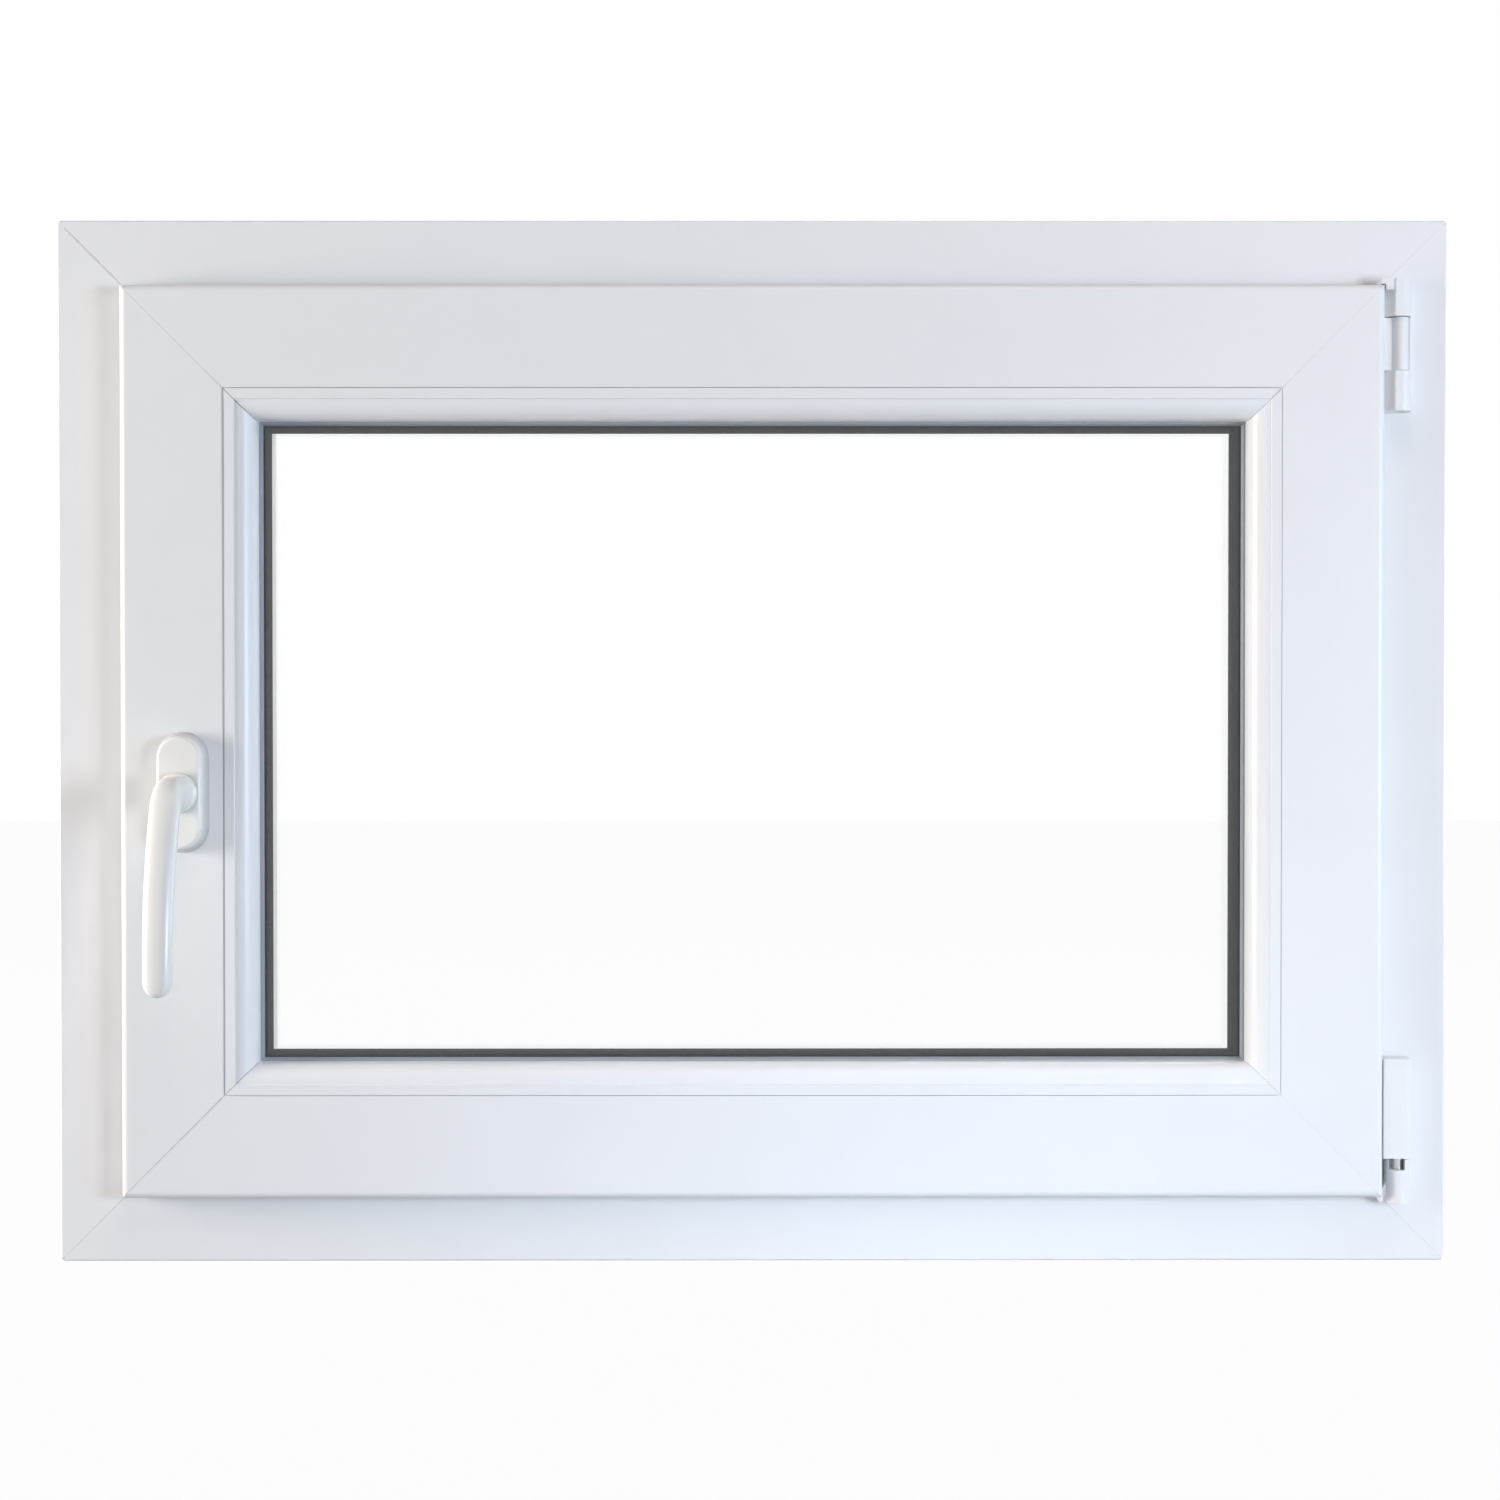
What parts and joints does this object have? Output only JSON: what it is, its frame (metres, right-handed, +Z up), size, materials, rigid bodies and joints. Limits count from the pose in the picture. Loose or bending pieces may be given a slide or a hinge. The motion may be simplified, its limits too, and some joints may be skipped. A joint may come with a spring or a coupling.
{
  "type": "pvc window",
  "caption": "White PVC tilt-and-turn window: welded frame with outer stop, overlapping sash, double glazing in rounded beads, lever handle and side hinges.",
  "frame": {"origin": "middle of the sill's underside, half way through the frame's depth", "axes": "+X right as seen from the room, +Y towards the outside, +Z up"},
  "size_m": [0.8, 0.1563, 0.6],
  "materials": {
    "white_pvc": "smooth, half gloss",
    "black_rubber": "matte",
    "grey_rubber": "matte",
    "clear_glass": "polished",
    "black_spacer": "matte",
    "white_lacquer": "gloss lacquer",
    "white_hinge": "half gloss",
    "zinc_steel": "zinc plated"
  },
  "bodies": {
    "window": {"bead_bottom": "white_pvc", "bead_left": "white_pvc", "bead_right": "white_pvc", "bead_top": "white_pvc", "corner_bearing": "white_hinge", "corner_hinge_cap": "white_hinge", "corner_hinge_pin": "zinc_steel", "drain_cap_left": "white_pvc", "drain_cap_right": "white_pvc", "frame_head": "white_pvc", "frame_left_jamb": "white_pvc", "frame_right_jamb": "white_pvc", "frame_sill": "white_pvc", "frame_stop_seal": "black_rubber", "glass_outer_pane": "clear_glass", "glass_room_pane": "clear_glass", "glass_spacer": "black_spacer", "glazing_seal_outer": "black_rubber", "glazing_seal_room": "grey_rubber", "handle_rosette": "white_lacquer", "sash_bottom_rail": "white_pvc", "sash_handle_stile": "white_pvc", "sash_hinge_stile": "white_pvc", "sash_overlap_seal": "black_rubber", "sash_top_rail": "white_pvc", "stay_bearing": "white_hinge", "stay_knuckle": "white_hinge", "stay_pin": "zinc_steel"},
    "handle": {"handle_lever": "white_lacquer"}
  },
  "joints": [
    {"name": "handle_turn", "type": "hinge", "parent": "window", "child": "handle", "pos_m": [-0.325, -0.06, 0.2715], "axis": [0, -1, 0], "range_deg": [0, 180]}
  ]
}
